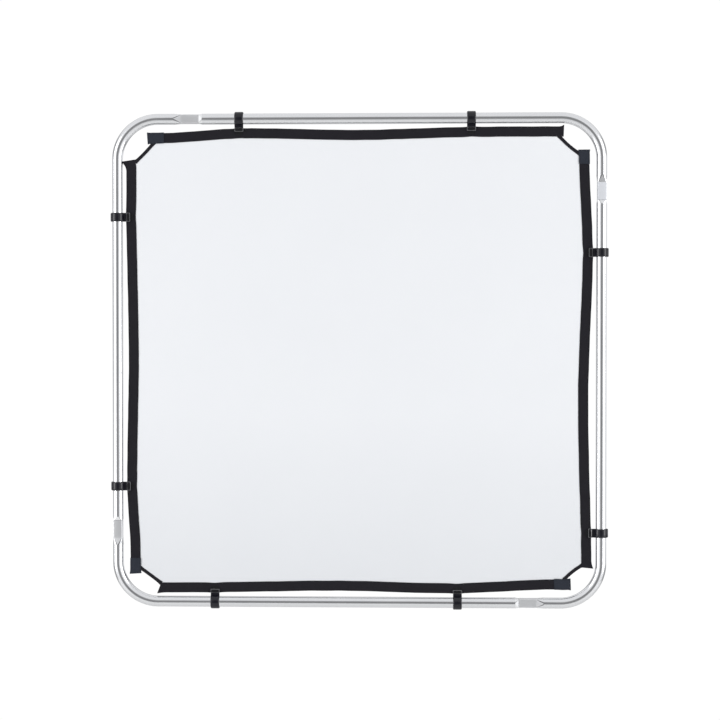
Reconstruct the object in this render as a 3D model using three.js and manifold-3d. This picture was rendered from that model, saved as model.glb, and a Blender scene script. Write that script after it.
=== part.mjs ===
// Collapsible square diffusion frame: four identical J-shaped aluminium tubes that plug into one
// another, and a translucent sheet with a bound edge, held inside them by eight push-on clips.
// Millimetres. X runs right, Z runs up and the front faces -Y. The centre of the square is the origin.

import * as THREE from 'three';
import { mergeVertices } from 'three/addons/utils/BufferGeometryUtils.js';
import ManifoldModule from 'manifold-3d';

const { Manifold, Mesh: ManifoldMesh } = await ManifoldModule().then((module) => {
  module.setup();
  return module;
});

// Frame
const FRAME_OUTER = 1100;
const TUBE_RADIUS = 12;
const TUBE_WALL = 1.2;
const BEND_RADIUS = 90;
const BEND_STEPS = 11;
const FIT_GAP = 0.3;

// Push-fit joint, as distances from the middle of the side that it is on
const SOCKET_HALF = 9.75;
const SOCKET_CORNER = 2.4;
const SOCKET_RIM = 356.3;
const SOCKET_END = 395;
const SOCKET_RAMP_END = 411;
const SHOULDER = 356;
const SHOULDER_RAMP_END = 348;
const SPIGOT_TIP = 390;

// Shock cord and the plugs that hold its ends
const CORD_RADIUS = 2.5;
const PLUG_LENGTH = 10;
const SOCKET_PLUG_NEAR = 425;
const SPIGOT_PLUG_NEAR = 310;

// Clips
const CLIP_WIDTH = 19.5;
const CLIP_BORE = TUBE_RADIUS + 0.4;
const CLIP_OUTER = 15.8;
const CLIP_LIP_ANGLE = 292;
const CLIP_NECK_ANGLE = 39;
const CLIP_HEEL_ANGLE = 14;
const NECK_START = 14.4;
const NECK_FRONT = -5;
const BUCKLE_NEAR = 19.8;
const BUCKLE_FAR = 28.4;
const BUCKLE_FRONT = -6;
const BUCKLE_BACK = -3.2;
const BUCKLE_RIM = 1.4;
const BUCKLE_BAR = 1.8;
const SLOT_LENGTH = 14.4;

// Elastic loops that hang each clip on the border
const LOOP_WIDTH = 13.4;
const LOOP_THICKNESS = 0.6;
const LOOP_SLACK = 2.4;
const LOOP_END = 35;

// Cloth
const SHEET_THICKNESS = 0.5;
const SHEET_IN_BORDER = 8;
const BORDER_WIDTH = 22.6;
const BORDER_THICKNESS = 2.3;
const BORDER_START = -471;
const BORDER_BY_TAB = -402;
const BORDER_STEPS = 16;
const HEM_SLOT = 1.1;
const TAB_WIDTH = 24.6;
const TAB_THICKNESS = 4.1;
const TAB_SLOT = 2.9;
const TAB_STEPS = 3;
const BINDING_WIDTH = 7.6;
const BINDING_THICKNESS = 2.1;
const BINDING_INWARD = 1.5;

// Each side in clockwise order: where its clips sit along it; how far the border's middle line stands
// from the centre of the frame at its start, by its tab, at its first clip, middle, second clip and end;
// where the border ends; and where its tab and the sheet's cut corners start and end.
const SIDES = [
  { name: 'top', clips: [-266, 250], reach: [496, 497, 506, 501.5, 507.5, 507.5],
    end: 454, tab: [-473, -434], cut: [-441, 426] },
  { name: 'right', clips: [-240, 381.5], reach: [499, 500.5, 507.5, 498, 504.5, 506],
    end: 459, tab: [-469, -434], cut: [-445, 442] },
  { name: 'bottom', clips: [-220, 320.5], reach: [496, 497, 506, 501.5, 506.5, 507],
    end: 445, tab: [-473, -434], cut: [-436, 421] },
  { name: 'left', clips: [-280, 320], reach: [499, 500, 506.5, 502.5, 507.5, 506.5],
    end: 447, tab: [-476, -441], cut: [-452, 428] },
];
const CORNERS = ['top_right', 'bottom_right', 'bottom_left', 'top_left'];

const LINE = FRAME_OUTER / 2 - TUBE_RADIUS;
const QUARTER = Math.PI / 2;
const CORNER_POINTS = 6;

const materials = {
  aluminium: () => new THREE.MeshStandardMaterial({ color: 0xd9dbdd, metalness: 1, roughness: 0.25 }),
  clip: () => new THREE.MeshStandardMaterial({ color: 0x0d0d0f, metalness: 0, roughness: 0.2 }),
  sheet: () => new THREE.MeshStandardMaterial({ color: 0xe9eef2, metalness: 0, roughness: 0.7 }),
  webbing: () => new THREE.MeshStandardMaterial({ color: 0x18171b, metalness: 0, roughness: 0.85 }),
  tab: () => new THREE.MeshStandardMaterial({ color: 0x2a2f3a, metalness: 0, roughness: 0.8 }),
  cord: () => new THREE.MeshStandardMaterial({ color: 0x202022, metalness: 0, roughness: 0.7 }),
  plug: () => new THREE.MeshStandardMaterial({ color: 0x2b2b2d, metalness: 0, roughness: 0.5 }),
};

function rad(degrees) {
  return (degrees * Math.PI) / 180;
}

function addMesh(parent, name, geometry, material) {
  geometry.computeVertexNormals();
  const mesh = new THREE.Mesh(geometry, material());
  mesh.name = name;
  parent.add(mesh);
  return mesh;
}

// Outline of a rounded square, as [across, depth] pairs. It is a circle where corner equals half.
function roundedSquare(half, corner) {
  const points = [];
  for (let quadrant = 0; quadrant < 4; quadrant++) {
    const middle = (quadrant + 0.5) * QUARTER;
    const cx = Math.sign(Math.cos(middle)) * (half - corner);
    const cy = Math.sign(Math.sin(middle)) * (half - corner);
    for (let i = 0; i < CORNER_POINTS; i++) {
      const angle = (quadrant + (i + 0.5) / CORNER_POINTS) * QUARTER;
      points.push([cx + corner * Math.cos(angle), cy + corner * Math.sin(angle)]);
    }
  }
  return points;
}

// Places an outline square to a path in the XZ plane; outward is the side that "across" points to.
function placeOutline(outline, x, z, heading) {
  const across = [-Math.sin(heading), Math.cos(heading)];
  return outline.map(([a, depth]) => [x + a * across[0], depth, z + a * across[1]]);
}

// Closed solid from rings of equal point count. "wrap" joins the last ring to the first.
function loft(rings, wrap) {
  const count = rings[0].length;
  const positions = rings.flat(2);
  const indices = [];
  const quad = (a, b, c, d) => indices.push(a, b, c, a, c, d);
  const last = wrap ? rings.length : rings.length - 1;
  for (let i = 0; i < last; i++) {
    const here = i * count;
    const next = ((i + 1) % rings.length) * count;
    for (let j = 0; j < count; j++) {
      const k = (j + 1) % count;
      quad(here + j, here + k, next + k, next + j);
    }
  }
  const geometry = new THREE.BufferGeometry();
  if (!wrap) {
    capEnds(rings, indices, count);
  }
  geometry.setAttribute('position', new THREE.Float32BufferAttribute(positions, 3));
  geometry.setIndex(indices);
  return facingOut(geometry);
}

// Flat ends of a lofted solid, triangulated in the plane of the end outline.
function capEnds(rings, indices, count) {
  const flat = (ring) => {
    const origin = new THREE.Vector3(...ring[0]);
    const centre = ring
      .reduce((sum, point) => sum.add(new THREE.Vector3(...point)), new THREE.Vector3())
      .divideScalar(count);
    const side = new THREE.Vector3(centre.x - origin.x, 0, centre.z - origin.z).normalize();
    return ring.map((p) => new THREE.Vector2((p[0] - origin.x) * side.x + (p[2] - origin.z) * side.z, p[1]));
  };
  const lastRing = (rings.length - 1) * count;
  for (const [a, b, c] of THREE.ShapeUtils.triangulateShape(flat(rings[0]), [])) {
    const reverse = THREE.ShapeUtils.isClockWise(flat(rings[0]));
    indices.push(...(reverse ? [a, b, c] : [c, b, a]));
    indices.push(...(reverse ? [c, b, a] : [a, b, c]).map((index) => index + lastRing));
  }
}

// Turns a geometry inside out when its faces point inward.
function facingOut(geometry) {
  const position = geometry.getAttribute('position');
  const index = geometry.getIndex();
  const [a, b, c] = [new THREE.Vector3(), new THREE.Vector3(), new THREE.Vector3()];
  let volume = 0;
  for (let i = 0; i < index.count; i += 3) {
    a.fromBufferAttribute(position, index.getX(i));
    b.fromBufferAttribute(position, index.getX(i + 1));
    c.fromBufferAttribute(position, index.getX(i + 2));
    volume += a.dot(b.cross(c));
  }
  if (volume < 0) {
    geometry.setIndex(Array.from(index.array).reverse());
  }
  return geometry;
}

// One tube: spigot, straight, bend, short leg and socket. Outer skin one way, bore back the other.
function tubeGeometry() {
  const skin = [];
  const bore = [];
  const bendStart = LINE - BEND_RADIUS;
  const put = (list, x, z, heading, half, corner) => {
    list.push(placeOutline(roundedSquare(half, corner), x, z, heading));
  };
  const boreHalf = SOCKET_HALF - TUBE_WALL;
  const boreCorner = SOCKET_CORNER - TUBE_WALL;
  const spigotHalf = boreHalf - FIT_GAP;
  const spigotCorner = boreCorner - FIT_GAP / 2;
  const boreRadius = TUBE_RADIUS - TUBE_WALL;

  put(skin, -SPIGOT_TIP, LINE, 0, spigotHalf, spigotCorner);
  put(skin, -SHOULDER, LINE, 0, spigotHalf, spigotCorner);
  put(skin, -SHOULDER, LINE, 0, SOCKET_HALF, SOCKET_CORNER);
  put(skin, -SHOULDER_RAMP_END, LINE, 0, TUBE_RADIUS, TUBE_RADIUS);
  put(bore, -SPIGOT_TIP, LINE, 0, spigotHalf - TUBE_WALL, spigotCorner - TUBE_WALL / 2);
  put(bore, -SHOULDER + TUBE_WALL, LINE, 0, spigotHalf - TUBE_WALL, spigotCorner - TUBE_WALL / 2);
  put(bore, -SHOULDER_RAMP_END, LINE, 0, boreRadius, boreRadius);

  for (let i = 0; i <= BEND_STEPS; i++) {
    const turn = (QUARTER * i) / BEND_STEPS;
    const x = bendStart + BEND_RADIUS * Math.sin(turn);
    const z = bendStart + BEND_RADIUS * Math.cos(turn);
    put(skin, x, z, -turn, TUBE_RADIUS, TUBE_RADIUS);
    put(bore, x, z, -turn, boreRadius, boreRadius);
  }

  put(skin, LINE, SOCKET_RAMP_END, -QUARTER, TUBE_RADIUS, TUBE_RADIUS);
  put(skin, LINE, SOCKET_END, -QUARTER, SOCKET_HALF, SOCKET_CORNER);
  put(skin, LINE, SOCKET_RIM, -QUARTER, SOCKET_HALF, SOCKET_CORNER);
  put(bore, LINE, SOCKET_RAMP_END, -QUARTER, boreRadius, boreRadius);
  put(bore, LINE, SOCKET_END, -QUARTER, boreHalf, boreCorner);
  put(bore, LINE, SOCKET_RIM, -QUARTER, boreHalf, boreCorner);
  return loft([...skin, ...bore.reverse()], true);
}

// Section of a clip, as [inward from the tube's middle, depth]: a hook around the tube from its
// front to its back, with a thinner neck that carries the buckle in front of the border.
function clipSection() {
  const shape = new THREE.Shape();
  const at = (radius, degrees) => [radius * Math.cos(rad(degrees)), -radius * Math.sin(rad(degrees))];
  shape.moveTo(BUCKLE_FAR, BUCKLE_FRONT + 0.6);
  shape.lineTo(BUCKLE_FAR - 0.6, BUCKLE_FRONT);
  shape.lineTo(BUCKLE_NEAR, BUCKLE_FRONT);
  shape.lineTo(BUCKLE_NEAR, NECK_FRONT);
  shape.lineTo(NECK_START, NECK_FRONT);
  shape.lineTo(...at(CLIP_OUTER, CLIP_NECK_ANGLE));
  shape.absarc(0, 0, CLIP_OUTER, -rad(CLIP_NECK_ANGLE), -rad(CLIP_LIP_ANGLE), true);
  shape.lineTo(...at((CLIP_OUTER + CLIP_BORE) / 2, CLIP_LIP_ANGLE + 5));
  shape.lineTo(...at(CLIP_BORE, CLIP_LIP_ANGLE));
  shape.absarc(0, 0, CLIP_BORE, -rad(CLIP_LIP_ANGLE), -rad(CLIP_HEEL_ANGLE), false);
  shape.lineTo(BUCKLE_NEAR, BUCKLE_BACK);
  shape.lineTo(BUCKLE_FAR - 0.6, BUCKLE_BACK);
  shape.lineTo(BUCKLE_FAR, BUCKLE_BACK - 0.6);
  shape.closePath();
  return shape;
}

// Turns a section drawn as [inward, depth] and extruded by "width" into a piece of the top side,
// centred at "along".
function standOnTop(geometry, width, along) {
  const basis = new THREE.Matrix4().makeBasis(
    new THREE.Vector3(0, 0, -1),
    new THREE.Vector3(0, 1, 0),
    new THREE.Vector3(1, 0, 0),
  );
  geometry.translate(0, 0, -width / 2);
  geometry.applyMatrix4(basis);
  geometry.translate(along, 0, LINE);
  return geometry;
}

function toManifold(geometry) {
  const bare = geometry.index ? geometry.clone() : geometry;
  bare.deleteAttribute('normal');
  bare.deleteAttribute('uv');
  const welded = mergeVertices(bare, 1e-4);
  return new Manifold(
    new ManifoldMesh({
      numProp: 3,
      vertProperties: new Float32Array(welded.getAttribute('position').array),
      triVerts: new Uint32Array(welded.getIndex().array),
    }),
  );
}

function fromManifold(solid) {
  const mesh = solid.getMesh();
  const geometry = new THREE.BufferGeometry();
  geometry.setAttribute('position', new THREE.BufferAttribute(new Float32Array(mesh.vertProperties), 3));
  geometry.setIndex(Array.from(mesh.triVerts));
  return geometry;
}

function clipGeometry(along) {
  const body = new THREE.ExtrudeGeometry(clipSection(), {
    depth: CLIP_WIDTH,
    bevelEnabled: false,
    curveSegments: 20,
  });
  let cut = toManifold(body);
  slotMiddles().forEach((middle) => {
    const slot = new THREE.BoxGeometry(slotWidth(), 4 * (BUCKLE_BACK - BUCKLE_FRONT), SLOT_LENGTH);
    slot.translate(middle, (BUCKLE_FRONT + BUCKLE_BACK) / 2, CLIP_WIDTH / 2);
    cut = cut.subtract(toManifold(slot));
  });
  return standOnTop(fromManifold(cut), CLIP_WIDTH, along);
}

// The buckle has a slot on each side of its bar.
function slotWidth() {
  return (BUCKLE_FAR - BUCKLE_NEAR - BUCKLE_BAR) / 2 - BUCKLE_RIM;
}

function slotMiddles() {
  return [BUCKLE_NEAR + BUCKLE_RIM + slotWidth() / 2, BUCKLE_FAR - BUCKLE_RIM - slotWidth() / 2];
}

// Elastic loop: up through one slot, over the bar, down through the other and sewn flat on the border.
function loopGeometry(along) {
  const [up, down] = slotMiddles();
  const half = LOOP_THICKNESS / 2;
  const back = -BORDER_THICKNESS / 2 - FIT_GAP;
  const front = BUCKLE_FRONT - LOOP_SLACK;
  const shape = new THREE.Shape();
  shape.moveTo(up - half, back);
  shape.lineTo(up - half, front - half);
  shape.lineTo(up, front - LOOP_THICKNESS);
  shape.lineTo(down, front - LOOP_THICKNESS);
  shape.lineTo(down + half, front - half);
  shape.lineTo(down + half, back - 2 * LOOP_THICKNESS);
  shape.lineTo(LOOP_END, back - 2 * LOOP_THICKNESS);
  shape.lineTo(LOOP_END, back);
  shape.closePath();
  const eye = new THREE.Path();
  eye.moveTo(up + half, back - LOOP_THICKNESS);
  eye.lineTo(down - half, back - LOOP_THICKNESS);
  eye.lineTo(down - half, front);
  eye.lineTo(up + half, front);
  eye.closePath();
  shape.holes.push(eye);
  const strap = new THREE.ExtrudeGeometry(shape, { depth: LOOP_WIDTH, bevelEnabled: false });
  return standOnTop(fromManifold(toManifold(strap)), LOOP_WIDTH, along);
}

// Middle line of a side's border, drawn for the top side.
function borderLine(side) {
  const [first, second] = side.clips;
  const stations = [BORDER_START, BORDER_BY_TAB, first, (first + second) / 2, second, side.end];
  const points = stations.map((along, i) => new THREE.Vector3(along, 0, side.reach[i]));
  return new THREE.CatmullRomCurve3(points, false, 'centripetal');
}

// Stretch of a border line between two places along the side, as evenly spaced points.
function stretch(line, from, to, steps) {
  const fine = line.getPoints(400);
  const points = [];
  for (let i = 0; i <= steps; i++) {
    const along = from + ((to - from) * i) / steps;
    let k = fine.findIndex((point) => point.x >= along);
    k = k < 0 ? fine.length - 1 : Math.max(k, 1);
    const [a, b] = [fine[k - 1], fine[k]];
    const share = (along - a.x) / (b.x - a.x);
    points.push([along, a.z + (b.z - a.z) * share]);
  }
  return points;
}

// Cloth folded over an edge: a channel that opens toward the middle of the sheet.
function hemGeometry(points, width, thickness, slot) {
  const skin = (thickness - slot) / 2;
  const section = [
    [-width / 2, -thickness / 2],
    [width / 2 - skin / 2, -thickness / 2],
    [width / 2, -slot / 2],
    [width / 2, slot / 2],
    [width / 2 - skin / 2, thickness / 2],
    [-width / 2, thickness / 2],
    [-width / 2, slot / 2],
    [width / 2 - skin, slot / 2],
    [width / 2 - skin, -slot / 2],
    [-width / 2, -slot / 2],
  ];
  const rings = points.map(([x, z], i) => {
    const before = points[Math.max(i - 1, 0)];
    const after = points[Math.min(i + 1, points.length - 1)];
    const heading = Math.atan2(after[1] - before[1], after[0] - before[0]);
    return placeOutline(section, x, z, heading);
  });
  return loft(rings, false);
}

// A point of the side number "turns", given for the top side, in the frame's own X and Z.
function turned([x, z], turns) {
  const [cos, sin] = [Math.round(Math.cos(turns * QUARTER)), Math.round(Math.sin(turns * QUARTER))];
  return [x * cos + z * sin, -x * sin + z * cos];
}

// Edge of the sheet inside one border, from corner cut to corner cut.
function sheetEdge(side) {
  const points = stretch(borderLine(side), ...side.cut, BORDER_STEPS);
  return points.map(([x, z]) => [x, z + SHEET_IN_BORDER]);
}

function sheetGeometry() {
  const outline = SIDES.flatMap((side, turns) => sheetEdge(side).map((point) => turned(point, turns)));
  const shape = new THREE.Shape(outline.map(([x, z]) => new THREE.Vector2(x, z)));
  const sheet = new THREE.ExtrudeGeometry(shape, { depth: SHEET_THICKNESS, bevelEnabled: false });
  sheet.translate(0, 0, -SHEET_THICKNESS / 2);
  sheet.rotateX(QUARTER);
  return fromManifold(toManifold(sheet));
}

// Binding along the diagonal cut between the end of one border and the tab of the next.
function bindingGeometry(turns) {
  const side = SIDES[turns];
  const next = SIDES[(turns + 1) % SIDES.length];
  const from = sheetEdge(side).at(-1);
  const to = turned(sheetEdge(next)[0], 1);
  const slope = (to[1] - from[1]) / (to[0] - from[0]);
  const gap = 1;
  const top = side.reach.at(-1) - BORDER_WIDTH / 2 - gap;
  const right = next.reach[0] - TAB_WIDTH / 2 - gap;
  const length = Math.hypot(1, slope);
  const shift = [slope / length, -1 / length].map((part) => part * BINDING_INWARD);
  const startX = from[0] + (top - from[1] - shift[1] - BINDING_WIDTH / 2) / slope;
  const endX = right - shift[0] - BINDING_WIDTH / 2;
  const onCut = (x) => [x + shift[0], from[1] + slope * (x - from[0]) + shift[1]];
  return hemGeometry([onCut(startX), onCut((startX + endX) / 2), onCut(endX)],
    BINDING_WIDTH, BINDING_THICKNESS, HEM_SLOT);
}

// A round bar along X between two places on the top side's middle line.
function barGeometry(radius, from, to, segments) {
  const bar = new THREE.CylinderGeometry(radius, radius, to - from, segments);
  bar.rotateZ(QUARTER);
  bar.translate((from + to) / 2, 0, LINE);
  return bar;
}

function buildSide(side, turns) {
  const group = new THREE.Group();
  group.rotation.y = turns * QUARTER;
  const before = CORNERS[(turns + 3) % CORNERS.length];
  const line = borderLine(side);

  addMesh(group, `tube_${side.name}`, tubeGeometry(), materials.aluminium);
  side.clips.forEach((along, i) => {
    addMesh(group, `clip_${side.name}_${i + 1}`, clipGeometry(along), materials.clip);
    addMesh(group, `clip_loop_${side.name}_${i + 1}`, loopGeometry(along), materials.webbing);
  });
  const border = stretch(line, BORDER_START, side.end, BORDER_STEPS);
  addMesh(group, `border_${side.name}`,
    hemGeometry(border, BORDER_WIDTH, BORDER_THICKNESS, HEM_SLOT), materials.webbing);
  const tab = stretch(line, ...side.tab, TAB_STEPS);
  addMesh(group, `border_tab_${side.name}`,
    hemGeometry(tab, TAB_WIDTH, TAB_THICKNESS, TAB_SLOT), materials.tab);
  addMesh(group, `corner_binding_${CORNERS[turns]}`, bindingGeometry(turns), materials.webbing);

  // The joint near the start of this side: the spigot's tube is this one, the socket's the last.
  const plugRadius = TUBE_RADIUS - TUBE_WALL - FIT_GAP;
  const spigotPlug = -SPIGOT_PLUG_NEAR;
  const socketPlug = -SOCKET_PLUG_NEAR;
  addMesh(group, `cord_plug_${before}_spigot`,
    barGeometry(plugRadius, spigotPlug, spigotPlug + PLUG_LENGTH, 24), materials.plug);
  addMesh(group, `cord_plug_${before}_socket`,
    barGeometry(plugRadius, socketPlug - PLUG_LENGTH, socketPlug, 24), materials.plug);
  addMesh(group, `shock_cord_${before}`,
    barGeometry(CORD_RADIUS, socketPlug + FIT_GAP, spigotPlug - FIT_GAP, 14), materials.cord);
  return group;
}

const group = new THREE.Group();
group.name = 'diffusion_frame';
SIDES.forEach((side, turns) => group.add(buildSide(side, turns)));
addMesh(group, 'diffuser_sheet', sheetGeometry(), materials.sheet);

export default group;
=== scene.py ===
"""Square diffusion frame: the looks of the tubes, clips, sheet and hems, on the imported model's bodies.

Metres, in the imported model's frame: X right, Z up, the front faces -Y. A piece of one side is built as if
on the top side, as (s, y, r): s along the side, r out from the middle of the frame. turn() takes it to its
side.
"""

import math

import bmesh
import bpy
import numpy as np
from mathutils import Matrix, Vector, noise


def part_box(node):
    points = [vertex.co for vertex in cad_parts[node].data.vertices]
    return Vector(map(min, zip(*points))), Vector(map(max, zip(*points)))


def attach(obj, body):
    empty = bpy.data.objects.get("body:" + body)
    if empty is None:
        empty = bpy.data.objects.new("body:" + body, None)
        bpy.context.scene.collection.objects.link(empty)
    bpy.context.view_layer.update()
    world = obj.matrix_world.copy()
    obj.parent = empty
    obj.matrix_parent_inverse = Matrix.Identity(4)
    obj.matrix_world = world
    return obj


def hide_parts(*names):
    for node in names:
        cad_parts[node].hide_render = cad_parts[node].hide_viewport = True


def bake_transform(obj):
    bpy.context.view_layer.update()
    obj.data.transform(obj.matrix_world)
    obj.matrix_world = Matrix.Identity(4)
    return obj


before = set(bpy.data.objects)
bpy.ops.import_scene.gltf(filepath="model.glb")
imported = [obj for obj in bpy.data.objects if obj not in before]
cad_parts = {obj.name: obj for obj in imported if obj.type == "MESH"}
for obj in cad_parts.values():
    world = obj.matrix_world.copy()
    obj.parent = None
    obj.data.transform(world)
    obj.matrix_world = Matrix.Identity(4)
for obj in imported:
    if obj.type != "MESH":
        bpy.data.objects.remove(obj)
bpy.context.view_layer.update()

SIDES = ("top", "right", "bottom", "left")
CORNERS = ("top_right", "bottom_right", "bottom_left", "top_left")
MM = 0.001

# Tubes
TUBE_R = 12 * MM
TUBE_WALL = 1.2 * MM
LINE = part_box("tube_top")[1].z - TUBE_R
BEND_R = 90 * MM
PLATE_HALF = 9.75 * MM
PLATE_CORNER = 1.4 * MM
SOCKET_RIM = 356.3 * MM
SOCKET_END = 395 * MM
SOCKET_RAMP_END = 411 * MM
SHOULDER = 356 * MM
SHOULDER_RAMP_END = 348 * MM
SPIGOT_TIP = 390 * MM
SPIGOT_GAP = 0.3 * MM
TUBE_CHAMFER = 0.5 * MM
LEAST_CORNER = 0.4 * MM
LEAST_SPIGOT_CORNER = 0.3 * MM
STRAIGHT_MARGIN = 20 * MM
SHOULDER_RAMP_START = 0.08
RAMP_RINGS = 6
STRAIGHT_RINGS = 12
BEND_STEPS = 36
RING = 96

# What a stretch of tube is finished as, in the order of its material slots
BRIGHT, PLATE, FACET, SCOOP, FOLD = range(5)
# Faces each side of a socket ramp's flat, which are coloured dark as painted shade along its creases.
FOLD_SHADE_FACES = (-3, -2, -1, 1, 2, 3)

# Clips, as distances in from the tube's middle and depths
CLIP_WIDTH = 19.5 * MM
CLIP_BORE = 12.4 * MM
CLIP_OUTER = 15.8 * MM
BUCKLE = (19.8 * MM, 28.4 * MM)
BUCKLE_Y = (-6 * MM, -3.2 * MM)
BUCKLE_RIM = 1.4 * MM
# Tilts, in degrees, of the buckle faces that are coloured light grey as a painted highlight.
RIM_HIGHLIGHT_TILT = (18, 80)
BUCKLE_BAR = (23.2 * MM, 25.0 * MM)
BUCKLE_BAR_HALF_DEPTH = 1.1 * MM
BUCKLE_OVERHANG = 0.25 * MM
BUCKLE_CORNER = 1.6 * MM
SLOT_LENGTH = 14.4 * MM
SLOT_CORNER = 0.8 * MM
SLOT_CLEARANCE = 0.2 * MM
HOOK_NECK_ANGLE = 39
HOOK_HEEL_ANGLE = 12
HOOK_TIP_ANGLE = 286
HOOK_LIP_ANGLE = 292
NECK_BACK = ((15.8 * MM, -2.9 * MM), (18 * MM, -3.0 * MM))
NECK_FRONT = ((18.4 * MM, -5.0 * MM), (14.4 * MM, -5.5 * MM))
NECK_HEEL_FRONT = -4.9 * MM
NECK_THINNING = 0.15

# Cloth
HEM_WIDTH = 22.6 * MM
HEM_THICK = 2.3 * MM
HEM_SLOT = 1.1 * MM
HEM_MIDDLE = 503 * MM
HEM_OVERHANG = 0.3 * MM
HEM_DOME = 0.18 * MM
HEM_RINGS = 190
HEM_WANDER = 0.5 * MM
HEM_RIPPLE = 0.12 * MM
CLIP_TUG = 1.1 * MM
CLIP_TUG_REACH = 13 * MM
HEM_SEAMS = (-9.2 * MM, 8.4 * MM)
HEM_SEAM_MARGINS = (40 * MM, 28 * MM)
HEM_STITCH = (2.9 * MM, 0.8 * MM, 0.26 * MM)
HEM_THREAD_LIFT = 0.12 * MM
HEM_UNDER_TAB = 2 * MM
HEM_END = {"top": 454 * MM, "right": 459 * MM, "bottom": 445 * MM, "left": 447 * MM}
TAB_ENDS = {
    "top": (-471 * MM, -434 * MM), "right": (-467.5 * MM, -436 * MM),
    "bottom": (-471.5 * MM, -434.5 * MM), "left": (-476 * MM, -441 * MM),
}
TAB_WIDTH = 24.6 * MM
TAB_THICK = 4.1 * MM
TAB_SLOT = 2.9 * MM
TAB_DOME = 0.25 * MM
TAB_RINGS = 26
TAB_WANDER = 0.9 * MM
TAB_PUFF = 0.35 * MM
TAB_SEAM = 9.6 * MM
TAB_SEAM_MARGIN = 3 * MM
TAB_STITCH = (2.6 * MM, 0.7 * MM, 0.24 * MM)
TAB_THREAD_LIFT = 0.16 * MM
SHEET_THICK = 0.5 * MM
SHEET_REACH = 504 * MM
SHEET_CUT = {
    "top": ((426 * MM, 515.5 * MM), (507 * MM, 445 * MM)),
    "right": ((442 * MM, 514 * MM), (504 * MM, 436 * MM)),
    "bottom": ((421 * MM, 515 * MM), (507 * MM, 452 * MM)),
    "left": ((428 * MM, 514.5 * MM), (504 * MM, 441 * MM)),
}
SHEET_CELLS = 150
SHEET_WAVE = 0.8 * MM
SHEET_WAVE_SCALE = 3.2
PULL_WAVE = 0.5 * MM
PULL_WAVE_REACH = 90 * MM
PULL_WAVES_ROUND = 7
SHEET_CALM_EDGE = 14 * MM
SHEET_CALM_FADE = 60 * MM
SHEET_CUT_SUM = 945 * MM
SHEET_CUT_SLANT = 1.4
BOW_REACH = 40 * MM
BINDING_WIDTH = 7.6 * MM
BINDING_THICK = 2.1 * MM
BINDING_INWARD = 1.5 * MM
BINDING_TUCK = 6 * MM
BINDING_DOME = 0.1 * MM
BINDING_RINGS = 30
BINDING_SAG = {"top": 2.4 * MM, "right": 2.4 * MM, "bottom": 0.6 * MM, "left": 1.2 * MM}
LOOP_WIDTH = 13.4 * MM
LOOP_THICK = 0.6 * MM
LOOP_SLACK = 2.4 * MM
LOOP_TAIL = (30.5 * MM, 35 * MM)

# How each border's far end was left: over what length it flares, how far its outer corner turns out and
# runs on past its inner corner, and how far the whole end is pulled outward.
HEM_FLARE = {
    "top": (9 * MM, 3.6 * MM, 1 * MM, 0), "right": (16 * MM, 4 * MM, 2.5 * MM, 0),
    "bottom": (14 * MM, 2 * MM, 9 * MM, 0), "left": (26 * MM, 9 * MM, -5 * MM, 3 * MM),
}


def quarter_turned(points, quarters):
    """Points turned about Y by quarter turns, clockwise as seen from the front."""
    cos, sin = ((1, 0), (0, 1), (-1, 0), (0, -1))[quarters % 4]
    x, y, z = np.moveaxis(np.asarray(points, float), -1, 0)
    return np.stack((x * cos + z * sin, y, z * cos - x * sin), axis=-1)


def turn(points, side):
    """Points of the top side, as (s, y, r), on one of the four sides, as (x, y, z)."""
    return quarter_turned(points, SIDES.index(side))


def turn_back(points, side):
    """The reverse of turn()."""
    return quarter_turned(points, -SIDES.index(side))


def linked(name, data):
    """A new object in the scene for a mesh, a light or a camera."""
    obj = bpy.data.objects.new(name, data)
    bpy.context.scene.collection.objects.link(obj)
    return obj


def mesh_object(name, vertices, faces, uv=None, sharp=None):
    """A smooth-shaded object. uv gives (u, v) in metres for each vertex; sharp is an angle in degrees."""
    mesh = bpy.data.meshes.new(name)
    mesh.from_pydata([tuple(v) for v in vertices], [], faces)
    if uv is not None:
        layer = mesh.uv_layers.new(name="metres")
        index = np.empty(len(mesh.loops), np.int64)
        mesh.loops.foreach_get("vertex_index", index)
        layer.data.foreach_set("uv", np.asarray(uv, float)[index].ravel())
    bm = bmesh.new()
    bm.from_mesh(mesh)
    bmesh.ops.recalc_face_normals(bm, faces=bm.faces)
    bm.to_mesh(mesh)
    bm.free()
    mesh.shade_smooth()
    if sharp is not None:
        mesh.set_sharp_from_angle(angle=math.radians(sharp))
    return linked(name, mesh)


def tube_faces(first, rows, around):
    """Faces between rows of points, each row a closed ring, where the first row starts at vertex first."""
    faces = []
    for a in range(first, first + (rows - 1) * around, around):
        faces += [(a + j, a + (j + 1) % around, a + around + (j + 1) % around, a + around + j)
                  for j in range(around)]
    return faces


def loft(name, rings, uv=None, wrap=False, sharp=None):
    """Object through rings of equal point count. wrap joins the last ring to the first; otherwise both ends
    are capped."""
    rings = np.asarray(rings, float)
    count, around = rings.shape[:2]
    faces = tube_faces(0, count, around)
    last = (count - 1) * around
    if wrap:
        faces += [(last + j, last + (j + 1) % around, (j + 1) % around, j) for j in range(around)]
    else:
        faces += [tuple(range(around - 1, -1, -1)), tuple(range(last, last + around))]
    uv = None if uv is None else np.reshape(uv, (-1, 2))
    return mesh_object(name, rings.reshape(-1, 3), faces, uv, sharp)


def settle(obj, body, slot, material, *stands_for):
    """Puts a piece on its body, with its finish (None keeps its own) and its CAD nodes. slot is not used."""
    if material is not None:
        obj.data.materials.clear()
        obj.data.materials.append(material)
    if stands_for:
        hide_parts(*stands_for)
    if body is not None:
        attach(obj, body)


# ---------------------------------------------------------------- materials


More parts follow.
